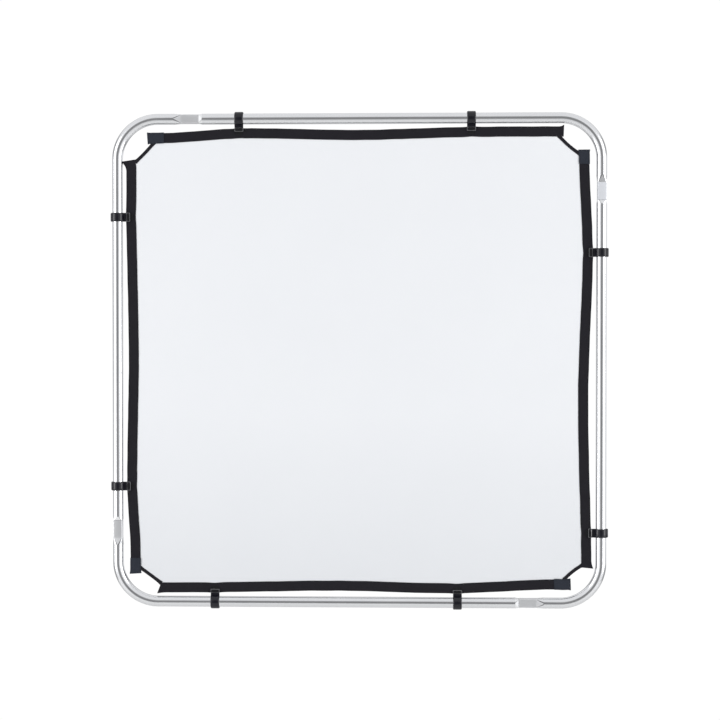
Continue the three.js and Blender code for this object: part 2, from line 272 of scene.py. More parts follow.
def add_node(tree, kind, settings, inputs):
    """A node with its settings and inputs. An input is a value or a socket, named or, as _0, numbered."""
    made = tree.nodes.new(kind)
    for key, value in (settings or {}).items():
        setattr(made, key, value)
    for key, value in inputs.items():
        socket = made.inputs[int(key[1:])] if key[1:].isdigit() else made.inputs[key.replace("_", " ")]
        if isinstance(value, bpy.types.NodeSocket):
            tree.links.new(value, socket)
        else:
            socket.default_value = value
    return made


class Finish:
    """A principled material with short calls for the nodes that feed it."""

    def __init__(self, name, **values):
        self.material = bpy.data.materials.new(name)
        self.material.use_nodes = True
        self.tree = self.material.node_tree
        self.shader = self.tree.nodes["Principled BSDF"]
        for key, value in values.items():
            self.shader.inputs[key.replace("_", " ")].default_value = value

    def node(self, kind, settings=None, **inputs):
        return add_node(self.tree, kind, settings, inputs)

    def place(self, kind="Object", scale=(1, 1, 1)):
        source = self.node("ShaderNodeTexCoord").outputs[kind]
        return self.node("ShaderNodeMapping", Vector=source, Scale=scale).outputs["Vector"]

    def noise(self, place, scale, detail=3.0, roughness=0.5):
        made = self.node("ShaderNodeTexNoise", Vector=place, Scale=scale, Detail=detail, Roughness=roughness)
        return made.outputs["Fac"]

    def wave(self, place, direction, scale, distortion=0.0):
        made = self.node(
            "ShaderNodeTexWave", {"bands_direction": direction, "wave_profile": "SIN"},
            Vector=place, Scale=scale, Distortion=distortion,
        )
        return made.outputs["Fac"]

    def span(self, value, low, high):
        made = self.node("ShaderNodeMapRange", Value=value, To_Min=low, To_Max=high)
        return made.outputs["Result"]

    def math(self, operation, a, b):
        return self.node("ShaderNodeMath", {"operation": operation}, _0=a, _1=b).outputs["Value"]

    def colour(self, value, dark, light):
        ramp = self.node("ShaderNodeValToRGB", Fac=value)
        ramp.color_ramp.elements[0].color = (*dark, 1)
        ramp.color_ramp.elements[1].color = (*light, 1)
        self.feed("Base Color", ramp.outputs["Color"])

    def feed(self, key, value):
        self.tree.links.new(value, self.shader.inputs[key])

    def bump(self, height, distance, strength):
        made = self.node("ShaderNodeBump", Height=height, Distance=distance, Strength=strength)
        self.feed("Normal", made.outputs["Normal"])


def aluminium(name, low, high, grain, dark=(0.78, 0.785, 0.80), light=(0.93, 0.93, 0.935)):
    """Bright or pressed metal: fine lines along the tube and a faint cloud, in its colour and its gloss."""
    f = Finish(name, Metallic=1.0, Specular_IOR_Level=0.5)
    along = f.place("UV", (900, 6, 1))
    lines = f.noise(along, 1.0, 2.0)
    cloud = f.noise(f.place("Object"), 9.0, 4.0)
    both = f.math("ADD", f.math("MULTIPLY", lines, 0.45), f.math("MULTIPLY", cloud, 0.55))
    f.colour(both, dark, light)
    f.feed("Roughness", f.span(both, low, high))
    f.bump(lines, grain, 0.6)
    return f.material


def plastic(name, dark, light, low, high):
    """Moulded plastic: a fine skin grain and a slightly uneven gloss."""
    f = Finish(name, Metallic=0.0, Specular_IOR_Level=0.46)
    place = f.place("Object")
    grain = f.noise(place, 1400.0, 2.0)
    cloud = f.noise(place, 120.0, 3.0)
    f.colour(cloud, dark, light)
    f.feed("Roughness", f.span(cloud, low, high))
    f.bump(grain, 0.00004, 0.5)
    return f.material


def diffuser():
    """Fine white cloth: plain weave, slightly blue, with a very faint cloud. Its colour darkens towards its
    lower edge as painted shade."""
    f = Finish("diffuser_cloth", Roughness=0.75, Sheen_Weight=0.15, Specular_IOR_Level=0.3)
    place = f.place("Object")
    warp = f.wave(place, "X", 500.0, 0.4)
    weft = f.wave(place, "Z", 500.0, 0.4)
    weave = f.math("MULTIPLY", warp, weft)
    cloud = f.noise(place, 5.0, 5.0)
    height = f.node("ShaderNodeSeparateXYZ", Vector=place).outputs["Z"]
    # Painted shade: the cloth's colour darkens from a height of -0.12 m down to -0.62 m.
    painted_shade_by_height = f.node("ShaderNodeMapRange", Value=height, From_Min=-0.62, From_Max=-0.12).outputs["Result"]
    uneven = f.math("ADD", f.math("MULTIPLY", weave, 0.10), f.math("MULTIPLY", cloud, 0.18))
    tone = f.math("ADD", uneven, f.math("MULTIPLY", painted_shade_by_height, 0.72))
    f.colour(tone, (0.704, 0.718, 0.739), (0.843, 0.853, 0.871))
    f.bump(weave, 0.00008, 0.35)
    return f.material


def webbing(name, dark, light, rib, across, roughness=0.8, sheen=0.05):
    """Woven tape: ribs that run along it, picks across it and slight wear in its colour. UVs are metres."""
    f = Finish(name, Sheen_Weight=sheen, Sheen_Roughness=0.4, Specular_IOR_Level=0.1)
    place = f.place("UV")
    ribs = f.wave(place, "X", rib, 0.3)
    picks = f.wave(place, "Y", across, 0.6)
    weave = f.math("MULTIPLY", ribs, f.span(picks, 0.5, 1.0))
    wear = f.noise(f.place("Object"), 34.0, 5.0, 0.6)
    f.colour(f.math("ADD", f.math("MULTIPLY", weave, 0.45), f.math("MULTIPLY", wear, 0.55)), dark, light)
    f.feed("Roughness", f.span(wear, roughness - 0.12, roughness + 0.1))
    f.bump(weave, 0.00018, 0.7)
    return f.material


def braid():
    """Braided cover of a shock cord."""
    f = Finish("cord_braid", Roughness=0.7, Sheen_Weight=0.2)
    place = f.place("Object")
    weave = f.math("MULTIPLY", f.wave(place, "DIAGONAL", 300.0), f.noise(place, 900.0, 2.0))
    f.colour(weave, (0.012, 0.012, 0.014), (0.05, 0.05, 0.055))
    f.bump(weave, 0.0002, 0.8)
    return f.material


ALUMINIUM = aluminium("aluminium_bright", 0.10, 0.22, 0.00002)
PRESSED = aluminium("aluminium_pressed", 0.35, 0.48, 0.00006)
# The top tube's socket plate: rougher than the other plates, and darker and bluer in colour as painted shade.
PRESSED_MATT_PAINTED_SHADE = aluminium("aluminium_pressed_matt_painted_shade", 0.58, 0.72, 0.00006,
                         (0.72, 0.735, 0.765), (0.83, 0.84, 0.865))
RAMP = aluminium("aluminium_ramp", 0.31, 0.41, 0.00004)
RAMP_MATT = aluminium("aluminium_ramp_matt", 0.44, 0.56, 0.00004)
# Dark metal for the faces along the socket ramps' creases: painted shade.
CREASE_PAINTED_SHADE = aluminium("aluminium_crease_painted_shade", 0.30, 0.42, 0.00004, (0.20, 0.20, 0.21), (0.30, 0.30, 0.31))
# The shoulder's scoop: glossy, and whiter in colour than the rest of the tube as a painted highlight.
SCOOP_PAINTED_HIGHLIGHT = aluminium("aluminium_scoop_painted_highlight", 0.10, 0.20, 0.00001,
                      (0.955, 0.958, 0.965), (0.985, 0.986, 0.99))
CLIP = plastic("clip_plastic", (0.003, 0.003, 0.006), (0.006, 0.006, 0.011), 0.14, 0.24)
# Light grey plastic on the buckle's rim chamfers: a painted highlight on the black clip.
CLIP_RIM_PAINTED_HIGHLIGHT = plastic("clip_rim_painted_highlight", (0.105, 0.105, 0.112), (0.16, 0.16, 0.166), 0.3, 0.45)
PLUG = plastic("plug_plastic", (0.02, 0.02, 0.022), (0.035, 0.035, 0.038), 0.5, 0.65)
DIFFUSER = diffuser()
HEM = webbing("hem_tape", (0.009, 0.0085, 0.011), (0.024, 0.0225, 0.028), 330.0, 700.0)
TAB = webbing("tab_tape", (0.0192, 0.0225, 0.032), (0.0365, 0.0415, 0.054), 420.0, 420.0, 0.7, 0.1)
ELASTIC = webbing("loop_elastic", (0.008, 0.008, 0.009), (0.02, 0.02, 0.022), 240.0, 900.0, 0.7)
THREAD = webbing("hem_thread", (0.014, 0.014, 0.016), (0.03, 0.03, 0.034), 900.0, 900.0, 0.55, 0.1)
BRAID = braid()


# ---------------------------------------------------------------- tubes


def tube_ring(s, r, heading, half, corner):
    """Ring square to the path: a rounded square, or a circle where corner equals half."""
    points = []
    steps = RING // 4
    for quadrant in range(4):
        middle = (quadrant + 0.5) * math.pi / 2
        cx, cy = (math.copysign(half - corner, f(middle)) for f in (math.cos, math.sin))
        for i in range(steps):
            angle = (quadrant + (i + 0.5) / steps) * math.pi / 2
            points.append((cx + corner * math.cos(angle), cy + corner * math.sin(angle)))
    across, depth = np.array(points).T
    return np.stack((s - math.sin(heading) * across, depth, r + math.cos(heading) * across), axis=-1)


def tube_skin(inset):
    """Rings of a tube from its spigot to its socket, their places along it, and the finish from each ring on.
    inset is the wall for the bore."""
    rings, along, finishes = [], [], []
    radius, plate, corner = TUBE_R - inset, PLATE_HALF - inset, max(LEAST_CORNER, PLATE_CORNER - inset)
    spigot = PLATE_HALF - TUBE_WALL - SPIGOT_GAP - inset
    spigot_corner = max(LEAST_SPIGOT_CORNER, corner - TUBE_WALL)
    centre = LINE - BEND_R
    down = -math.pi / 2

    def put(s, r, heading, half, rounding, finish=BRIGHT):
        rings.append(tube_ring(s, r, heading, half, rounding))
        along.append(s - r)
        finishes.append(finish)

    def ramp(t):
        return plate + (radius - plate) * t, corner + (radius - corner) * t

    if inset:
        put(-SPIGOT_TIP, LINE, 0, spigot, spigot_corner)
        put(-SHOULDER + TUBE_WALL, LINE, 0, spigot, spigot_corner)
    else:
        put(-SPIGOT_TIP, LINE, 0, spigot - TUBE_CHAMFER, spigot_corner)
        put(-SPIGOT_TIP + TUBE_CHAMFER, LINE, 0, spigot, spigot_corner)
        put(-SHOULDER, LINE, 0, spigot, spigot_corner)
        put(-SHOULDER, LINE, 0, plate - TUBE_CHAMFER, corner)
    for t in np.linspace(SHOULDER_RAMP_START, 1, RAMP_RINGS):
        s = -SHOULDER + (SHOULDER - SHOULDER_RAMP_END) * t
        put(s, LINE, 0, *ramp(t), BRIGHT if t == 1 else SCOOP)
    for s in np.linspace(-SHOULDER_RAMP_END + STRAIGHT_MARGIN, centre - STRAIGHT_MARGIN, STRAIGHT_RINGS):
        put(s, LINE, 0, radius, radius)
    for i in range(BEND_STEPS + 1):
        a = math.pi / 2 * i / BEND_STEPS
        put(centre + BEND_R * math.sin(a), centre + BEND_R * math.cos(a), -a, radius, radius)
    for t in np.linspace(0, 1, RAMP_RINGS):
        r = SOCKET_RAMP_END + (SOCKET_END - SOCKET_RAMP_END) * t
        put(LINE, r, down, *ramp(1 - t), PLATE if t == 1 else FACET)
    put(LINE, SOCKET_RIM + TUBE_CHAMFER, down, plate, corner, PLATE)
    put(LINE, SOCKET_RIM, down, plate - (0 if inset else TUBE_CHAMFER), corner)
    return rings, along, finishes


def build_tube(side):
    """A tube with its outer skin and its bore. The top tube's socket has a more matt plate than the others,
    with a darker, bluer colour that is painted shade, and glossier flats on its ramp. The shoulder's scoop is
    coloured lighter as a painted highlight, and the faces along the socket ramp's creases are coloured dark
    as painted shade."""
    skin, skin_along, finishes = tube_skin(0)
    bore, bore_along, _ = tube_skin(TUBE_WALL)
    rings = skin + bore[::-1]
    along = skin_along + bore_along[::-1]
    around = np.arange(RING) / RING * 2 * math.pi * TUBE_R
    uv = [[(u, a) for u in around] for a in along]
    obj = loft(f"tube_{side}_drawn", turn(rings, side), uv, wrap=True, sharp=7)
    settle(obj, f"frame_{side}", "tube", ALUMINIUM, f"tube_{side}")
    plate, facet = (PRESSED_MATT_PAINTED_SHADE, RAMP) if side == "top" else (PRESSED, RAMP_MATT)
    # Slots after the bright metal: plate, ramp flats, the scoop's painted highlight and the creases' painted
    # shade.
    for material in (plate, facet, SCOOP_PAINTED_HIGHLIGHT, CREASE_PAINTED_SHADE):
        obj.data.materials.append(material)
    slots = np.full(len(obj.data.polygons), BRIGHT, np.int32)
    for i, finish in enumerate(finishes):
        if finish in (PLATE, SCOOP):
            slots[i * RING : (i + 1) * RING] = finish
        elif finish == FACET:
            for flat in range(RING // 4 - 1, RING, RING // 4):
                slots[i * RING + flat] = FACET
                # The faces beside each flat take the dark metal: painted shade along the creases.
                for beside in FOLD_SHADE_FACES:
                    slots[i * RING + (flat + beside) % RING] = FOLD
    obj.data.polygons.foreach_set("material_index", slots)


# ---------------------------------------------------------------- clips


def arc(radius, start, end, steps):
    """Points from one angle to another, in degrees: 0 points in from the tube, 90 to the front."""
    angles = np.radians(np.linspace(start, end, steps))
    return [(radius * math.cos(a), -radius * math.sin(a)) for a in angles]


def apply_modifiers(obj):
    """Works an object's modifiers into its mesh."""
    depsgraph = bpy.context.evaluated_depsgraph_get()
    mesh = bpy.data.meshes.new_from_object(obj.evaluated_get(depsgraph))
    obj.modifiers.clear()
    old, obj.data = obj.data, mesh
    bpy.data.meshes.remove(old)


def hook_outline(inset):
    """Hook and neck in (inward, depth), with the outside of the hook and both faces of the neck set in."""
    outer = CLIP_OUTER - inset
    hook = arc(outer, HOOK_NECK_ANGLE, HOOK_TIP_ANGLE, 44)
    lip_middle, lip_radius = (outer + CLIP_BORE) / 2, (outer - CLIP_BORE) / 2
    lip = math.radians(HOOK_LIP_ANGLE)
    centre = (lip_middle * math.cos(lip), -lip_middle * math.sin(lip))
    for a in np.linspace(lip, lip + math.pi, 7):
        hook.append((centre[0] + lip_radius * math.cos(a), centre[1] - lip_radius * math.sin(a)))
    hook += arc(CLIP_BORE, HOOK_TIP_ANGLE, HOOK_HEEL_ANGLE, 46)
    thin = NECK_THINNING * inset
    heel = BUCKLE[0] + BUCKLE_RIM
    back = (*NECK_BACK, (heel, BUCKLE_Y[1] - 0.1 * MM))
    front = ((heel, NECK_HEEL_FRONT), *NECK_FRONT)
    return hook + [(u, y - thin) for u, y in back] + [(u, y + thin) for u, y in front]


def clip_mesh():
    """One clip about its tube's middle: the hook, the neck, and the slotted buckle joined on."""
    end = CLIP_WIDTH / 2
    rounding = [(0, 2.2), (0.2, 1.5), (0.7, 0.75), (1.4, 0.25), (2.3, 0.0)]
    stations = [(-end + d * MM, i * MM) for d, i in rounding]
    stations += [(end - d * MM, i * MM) for d, i in reversed(rounding)]
    body = loft("clip_hook", [[(s, y, -u) for u, y in hook_outline(inset)] for s, inset in stations])

    middle = sum(BUCKLE) / 2
    half_s, half_u = CLIP_WIDTH / 2 + BUCKLE_OVERHANG, (BUCKLE[1] - BUCKLE[0]) / 2
    window_s, window_u = SLOT_LENGTH / 2, half_u - BUCKLE_RIM
    low, thick = BUCKLE_Y[0], BUCKLE_Y[1] - BUCKLE_Y[0]

    def rounded(reach_s, reach_u, corner, y):
        points = []
        for q in range(4):
            start = q * math.pi / 2
            cs = math.copysign(reach_s - corner, math.cos(start + math.pi / 4))
            cu = math.copysign(reach_u - corner, math.sin(start + math.pi / 4))
            for a in np.linspace(start, start + math.pi / 2, 6):
                points.append((cs + corner * math.cos(a), y, -(middle + cu + corner * math.sin(a))))
        return points

    rim = [(0, -0.9), (0.08, -0.68), (0.3, -0.12), (0.42, 0),
           (0.58, 0), (0.7, -0.12), (0.92, -0.68), (1, -0.9)]
    window = [(1, 0.4), (0.92, 0.25), (0.75, 0), (0.25, 0), (0.08, 0.25), (0, 0.4)]
    rings = [rounded(half_s + grow * MM, half_u + grow * MM, BUCKLE_CORNER, low + thick * t)
             for t, grow in rim]
    rings += [rounded(window_s + grow * MM, window_u + grow * MM, SLOT_CORNER, low + thick * t)
              for t, grow in window]
    buckle = loft("clip_buckle", rings, wrap=True)
    opening = (window_s + SLOT_CLEARANCE, window_u + SLOT_CLEARANCE, SLOT_CORNER)
    cutter = loft("clip_cutter", [rounded(*opening, y) for y in (low - 3 * MM, low + thick + 3 * MM)])
    bar_u, bar_half = sum(BUCKLE_BAR) / 2, (BUCKLE_BAR[1] - BUCKLE_BAR[0]) / 2
    section = [(bar_half * math.cos(a), BUCKLE_BAR_HALF_DEPTH * math.sin(a))
               for a in np.linspace(0, 2 * math.pi, 16, endpoint=False)]
    bar = loft("clip_bar", [[(s, low + thick / 2 + y, -(bar_u + u)) for u, y in section]
                            for s in np.linspace(-window_s - 1 * MM, window_s + 1 * MM, 8)])
    for tool, operation in ((cutter, "DIFFERENCE"), (buckle, "UNION"), (bar, "UNION")):
        modifier = body.modifiers.new(operation.lower(), "BOOLEAN")
        modifier.operation, modifier.object, modifier.solver = operation, tool, "EXACT"
        apply_modifiers(body)
    for tool in (buckle, cutter, bar):
        bpy.data.objects.remove(tool)
    mesh = body.data
    bpy.data.objects.remove(body)
    mesh.shade_smooth()
    mesh.set_sharp_from_angle(angle=math.radians(42))
    mesh.materials.clear()
    mesh.materials.append(CLIP)
    mesh.materials.append(CLIP_RIM_PAINTED_HIGHLIGHT)
    # Buckle faces tilted between these angles take the light grey: a painted highlight along the rims.
    for face in mesh.polygons:
        on_buckle = -face.center.z > BUCKLE[0] - 0.2 * MM
        tilt = math.degrees(math.acos(min(1.0, abs(face.normal.y))))
        face.material_index = int(on_buckle and RIM_HIGHLIGHT_TILT[0] < tilt < RIM_HIGHLIGHT_TILT[1])
    return mesh


def clip_along(side, i):
    """Where a clip's CAD node sits along its side."""
    node = f"clip_{side}_{i}"
    low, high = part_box(node)
    return turn_back((low + high) / 2, side)[0]


def build_clips():
    """The eight clips, all from one mesh."""
    pattern = clip_mesh()
    for side in SIDES:
        for i in (1, 2):
            mesh = pattern.copy()
            co = np.array([v.co for v in mesh.vertices]) + (clip_along(side, i), 0, LINE)
            mesh.vertices.foreach_set("co", turn(co, side).ravel())
            obj = linked(f"clip_{side}_{i}_moulded", mesh)
            settle(obj, f"clip_body_{side}_{i}", "clip", None, f"clip_{side}_{i}")
    bpy.data.meshes.remove(pattern)


def lengths(points):
    """How far along its line each point lies."""
    return np.concatenate(([0], np.cumsum(np.linalg.norm(np.diff(points, axis=0), axis=1))))


def ribbon(name, path, width, thick, side):
    """Strap that follows a path of (s, y, r) points square to its side, with rounded selvedges."""
    tangent = np.gradient(path, axis=0)
    tangent /= np.linalg.norm(tangent, axis=1)[:, None]
    wide = np.array((1.0, 0, 0))
    normal = np.cross(tangent, wide)
    section = [(x * width / 2, thick / 2 * math.sqrt(1 - abs(x) ** 12) if abs(x) < 1 else 0.1 * thick)
               for x in np.linspace(-1, 1, 10)]
    section += [(x, -y) for x, y in reversed(section)]
    rings = [[p + wide * x + n * y for x, y in section] for p, n in zip(path, normal)]
    uv = [[(x, a) for x, _ in section] for a in lengths(path)]
    return loft(name, turn(rings, side), uv, sharp=50)


def smooth_path(points, per_span):
    """Catmull-Rom line through the points."""
    p = np.asarray(points, float)
    p = np.vstack((2 * p[0] - p[1], p, 2 * p[-1] - p[-2]))
    out = []
    for i in range(1, len(p) - 2):
        a, b, c, d = p[i - 1 : i + 3]
        for t in np.linspace(0, 1, per_span, endpoint=False):
            squared, cubed = 2 * a - 5 * b + 4 * c - d, 3 * b - a - 3 * c + d
            out.append(0.5 * (2 * b + (c - a) * t + squared * t**2 + cubed * t**3))
    return np.array(out + [p[-2]])


def build_loops():
    """Elastic loops: up through one slot of the buckle, over its bar, down the other and sewn to the
    border."""
    back = -HEM_THICK / 2 - 0.55 * MM
    front = BUCKLE_Y[0] - LOOP_SLACK
    up, down = (BUCKLE[0] + BUCKLE_RIM + BUCKLE_BAR[0]) / 2, (BUCKLE[1] - BUCKLE_RIM + BUCKLE_BAR[1]) / 2
    over = back - LOOP_THICK - 0.06 * MM
    for side in SIDES:
        for i in (1, 2):
            node = f"clip_loop_{side}_{i}"
            s = clip_along(side, i)
            route = [(LOOP_TAIL[1], back), (LOOP_TAIL[0] + 1 * MM, back), (28 * MM, back), (down, back),
                     (up + 0.9 * MM, back - 0.1 * MM), (up, back - 1.0 * MM), (up, front + 1.2 * MM),
                     (up + 0.8 * MM, front), (down - 0.8 * MM, front), (down, front + 1.2 * MM),
                     (down, over - 1.2 * MM), (down + 0.7 * MM, over - 0.15 * MM), (28.6 * MM, over),
                     (LOOP_TAIL[0] + 1 * MM, over), (LOOP_TAIL[1], over)]
            path = smooth_path([(s, y, LINE - u) for u, y in route], 5)
            obj = ribbon(f"{node}_elastic", path, LOOP_WIDTH, LOOP_THICK, side)
            settle(obj, None, "loop", ELASTIC, node)
            ends = turn([(s, 0, LINE - LOOP_TAIL[0]), (s, 0, LINE - BUCKLE[1])], side)
            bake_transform(obj)


# ---------------------------------------------------------------- hems and sheet


def hem_edges(side):
    """Inner and outer edge of a border's CAD solid, as functions of s."""
    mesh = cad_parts[f"border_{side}"].data
    p = turn_back([v.co for v in mesh.vertices], side)
    face = p[np.abs(p[:, 1] + HEM_THICK / 2) < 1e-5]
    lines = []
    for chosen in (face[face[:, 2] < HEM_MIDDLE], face[face[:, 2] > HEM_MIDDLE]):
        order = np.argsort(chosen[:, 0])
        lines.append((chosen[order, 0], chosen[order, 2]))
    inner, outer = lines
    return lambda s: np.interp(s, *inner), lambda s: np.interp(s, *outer) + HEM_OVERHANG


def hem_section(width, thick, slot, dome):
    """Folded tape across: (across, depth) points round it and its channel, which is open inward. dome is how
    far its faces bulge."""
    outer = []
    for x in np.linspace(-1, 0.9, 14):
        lift = dome * (1 - abs(x) ** 4)
        outer.append((x * width / 2, -thick / 2 + 0.12 * MM * (1 if x == -1 else 0) - lift))
    half = thick / 2
    fold = [(width / 2 - half + half * math.cos(a), half * math.sin(a)) for a in np.linspace(-1.2, 1.2, 7)]
    back = [(x, -y) for x, y in reversed(outer)]
    channel = [(x, slot / 2) for x in (-width / 2, 0, width / 2 - half)]
    channel += [(x, -y) for x, y in reversed(channel)]
    return np.array(outer + fold + back + channel)


def hem(name, side, line, section, ends, steps, shape):
    """Tape folded over the sheet's edge along a middle line r = line(s). shape moves each ring's (s, y, r)
    points."""
    rings, uv = [], []
    for s in np.linspace(*ends, steps):
        slope = math.atan((line(s + MM) - line(s - MM)) / (2 * MM))
        ring = [(s - math.sin(slope) * a, y, line(s) + math.cos(slope) * a) for a, y in section]
        rings.append(shape(np.array(ring)))
        uv.append([(girth, s) for girth in lengths(section)])
    return loft(name, turn(rings, side), uv, sharp=60)


def stitches(name, side, route, length, gap, radius, depth):
    """Row of thread stitches along a route of (s, r) points: each dips into the cloth at both ends."""
    route = np.asarray(route)
    run = lengths(route)
    rows, around = 5, 6
    facing = math.copysign(1, depth)

    def at(a):
        return np.array([np.interp(a, run, route[:, axis]) for axis in (0, 1)])

    vertices, faces, uv = [], [], []
    for k in range(int(run[-1] / (length + gap))):
        first = len(vertices)
        for t in np.linspace(0, 1, rows):
            a = k * (length + gap) + length * t
            s, r = at(a)
            ahead = at(a + 0.2 * MM) - at(a - 0.2 * MM)
            ahead /= np.linalg.norm(ahead)
            lift = radius * (1.1 * math.sin(math.pi * t) - 0.5)
            thick = radius * (0.55 + 0.45 * math.sin(math.pi * t))
            for angle in np.linspace(0, 2 * math.pi, around, endpoint=False):
                out, up = thick * math.cos(angle), lift + thick * math.sin(angle)
                vertices.append((s - ahead[1] * out, depth + facing * up, r + ahead[0] * out))
                uv.append((radius * angle, a))
        last = first + (rows - 1) * around
        faces += tube_faces(first, rows, around)
        faces += [tuple(range(first + around - 1, first - 1, -1)), tuple(range(last, last + around))]
    return mesh_object(name, turn(vertices, side), faces, uv)


def joined(name, objects):
    """One object from several, keeping their meshes and UVs."""
    bm = bmesh.new()
    for obj in objects:
        bm.from_mesh(obj.data)
    mesh = bpy.data.meshes.new(name)
    bm.to_mesh(mesh)
    bm.free()
    for obj in objects:
        bpy.data.objects.remove(obj)
    mesh.shade_smooth()
    return linked(name, mesh)


def wander(s, seed, size, scale=28.0):
    """Slow, seeded unevenness of a sewn edge."""
    return size * noise.noise(Vector((s * scale, seed * 7.31, 0.5)))


def build_border(side):
    """A border with its seams, and the tab sewn over the border's start with its own box seam."""
    inner, outer = hem_edges(side)
    seed = SIDES.index(side)
    clips = [clip_along(side, i) for i in (1, 2)]
    length, flare, run_on, pulled = HEM_FLARE[side]
    start, end = TAB_ENDS[side][0] + HEM_UNDER_TAB, HEM_END[side]
    section = hem_section(HEM_WIDTH, HEM_THICK, HEM_SLOT, HEM_DOME)
    outward = np.clip(section[:, 0] / HEM_WIDTH + 0.5, 0, 1)

    def line(s):
        tug = sum(CLIP_TUG * math.exp(-(((s - clip) / CLIP_TUG_REACH) ** 2)) for clip in clips)
        return float(inner(s) + outer(s)) / 2 + tug + wander(s, seed, HEM_WANDER)

    def shape(ring):
        near = max(0.0, (ring[:, 0].mean() - end + length) / length)
        ring[:, 2] += near**2 * (pulled + flare * outward)
        ring[:, 0] += run_on * near**2 * (outward - 0.35)
        ring[:, 1] *= 1 + 0.5 * near**4 * outward
        ring[:, 1] -= 1.6 * MM * near**3 * outward
        ripple = np.array([noise.noise(Vector((p[0] * 90, seed * 3.1, p[2] * 120))) for p in ring])
        ring[:, 1] += HEM_RIPPLE * ripple * np.sign(section[:, 1])
        return ring

    tape = hem(f"border_{side}_tape", side, line, section, (start, end), HEM_RINGS, shape)
    settle(tape, "fabric_panel", "border", HEM, f"border_{side}")
    sewn = np.linspace(start + HEM_SEAM_MARGINS[0], end - HEM_SEAM_MARGINS[1], 240)
    rows = []
    for across in HEM_SEAMS:
        route = [(s, line(s) + across) for s in sewn]
        for face in (-1, 1):
            rows.append(stitches("row", side, route, *HEM_STITCH, face * (HEM_THICK / 2 + HEM_THREAD_LIFT)))
    thread = joined(f"border_{side}_stitching", rows)
    settle(thread, "fabric_panel", "border", THREAD)

    tab_seed = seed + 11
    tab_start, tab_end = TAB_ENDS[side]
    tab_section = hem_section(TAB_WIDTH, TAB_THICK, TAB_SLOT, TAB_DOME)
    tab_outward = tab_section[:, 0] / TAB_WIDTH

    def tab_line(s):
        return line(s) + wander(s, tab_seed, TAB_WANDER, 60)

    def tab_shape(ring):
        s = ring[:, 0].mean()
        near = max(0.0, 1 - abs(s - tab_start) / (6 * MM))
        ring[:, 2] += 2 * MM * near * tab_outward
        ring[:, 0] += wander(ring[0, 2] * 3, tab_seed, 0.8 * MM) - 1.2 * MM * near * tab_outward
        puff = TAB_PUFF * noise.noise(Vector((s * 70, tab_seed, 0)))
        ring[:, 1] += puff * np.sign(tab_section[:, 1]) * (1 - np.abs(tab_outward) * 2)
        return ring

    tab = hem(f"border_tab_{side}_cloth", side, tab_line, tab_section, TAB_ENDS[side], TAB_RINGS, tab_shape)
    settle(tab, "fabric_panel", "tab", TAB, f"border_tab_{side}")
    places = np.linspace(tab_start + TAB_SEAM_MARGIN, tab_end - TAB_SEAM_MARGIN, 12)
    box = [(s, tab_line(s) + TAB_SEAM) for s in places]
    box += [(s, tab_line(s) - TAB_SEAM) for s in places[::-1]]
    box.append(box[0])
    seams = [stitches("seam", side, box, *TAB_STITCH, face * (TAB_THICK / 2 + TAB_THREAD_LIFT))
             for face in (-1, 1)]
    tab_thread = joined(f"border_tab_{side}_stitching", seams)
    settle(tab_thread, "fabric_panel", "tab", THREAD)
    return [tape, thread, tab, tab_thread]


def cut_line(side):
    """Where a slanted cut of the sheet starts as (s, r), its direction, the direction out of the sheet, and
    its length."""
    start, end = np.array(SHEET_CUT[side])
    length = np.linalg.norm(end - start)
    along = (end - start) / length
    return start, along, np.array((-along[1], along[0])), length


def build_binding(side):
    """Narrow tape folded over the sheet's slanted corner, from this side's border to the next one's tab."""
    corner = CORNERS[SIDES.index(side)]
    following = SIDES[(SIDES.index(side) + 1) % 4]
    start, along, out, _ = cut_line(side)
    hem_inner = float(hem_edges(side)[0](HEM_END[side]))
    tab_middle = float(sum(edge(TAB_ENDS[following][0]) for edge in hem_edges(following))) / 2
    tab_inner = tab_middle - TAB_WIDTH / 2
    a = start + along * ((hem_inner - start[1]) / along[1] - BINDING_TUCK) - out * BINDING_INWARD
    b = start + along * ((tab_inner - start[0]) / along[0] + BINDING_TUCK) - out * BINDING_INWARD
    section = hem_section(BINDING_WIDTH, BINDING_THICK, HEM_SLOT, BINDING_DOME)
    rings, uv = [], []
    for t in np.linspace(0, 1, BINDING_RINGS):
        s, r = a + (b - a) * t - out * BINDING_SAG[side] * 4 * t * (1 - t)
        widen = 1 + 0.35 * (2 * t - 1) ** 6
        rings.append([(s + out[0] * x * widen, y, r + out[1] * x * widen) for x, y in section])
        uv.append([(girth, np.linalg.norm(b - a) * t) for girth in lengths(section)])
    obj = loft(f"corner_binding_{corner}_tape", turn(rings, side), uv, sharp=60)
    settle(obj, "fabric_panel", "border", HEM, f"corner_binding_{corner}")
    return obj


def bow_cuts(bm):
    """Draws the sheet's slanted edges in, as far as the bindings sewn on them."""
    for side in SIDES:
        start, along, out, length = cut_line(side)
        for v in bm.verts:
            s, y, r = turn_back(v.co, side)
            t, inside = ((s, r) - start) @ along / length, -((s, r) - start) @ out
            if 0 < t < 1 and inside < BOW_REACH:
                bow = BINDING_SAG[side] * 4 * t * (1 - t) * (1 - inside / BOW_REACH)
                v.co = turn((s - out[0] * bow, y, r - out[1] * bow), side)


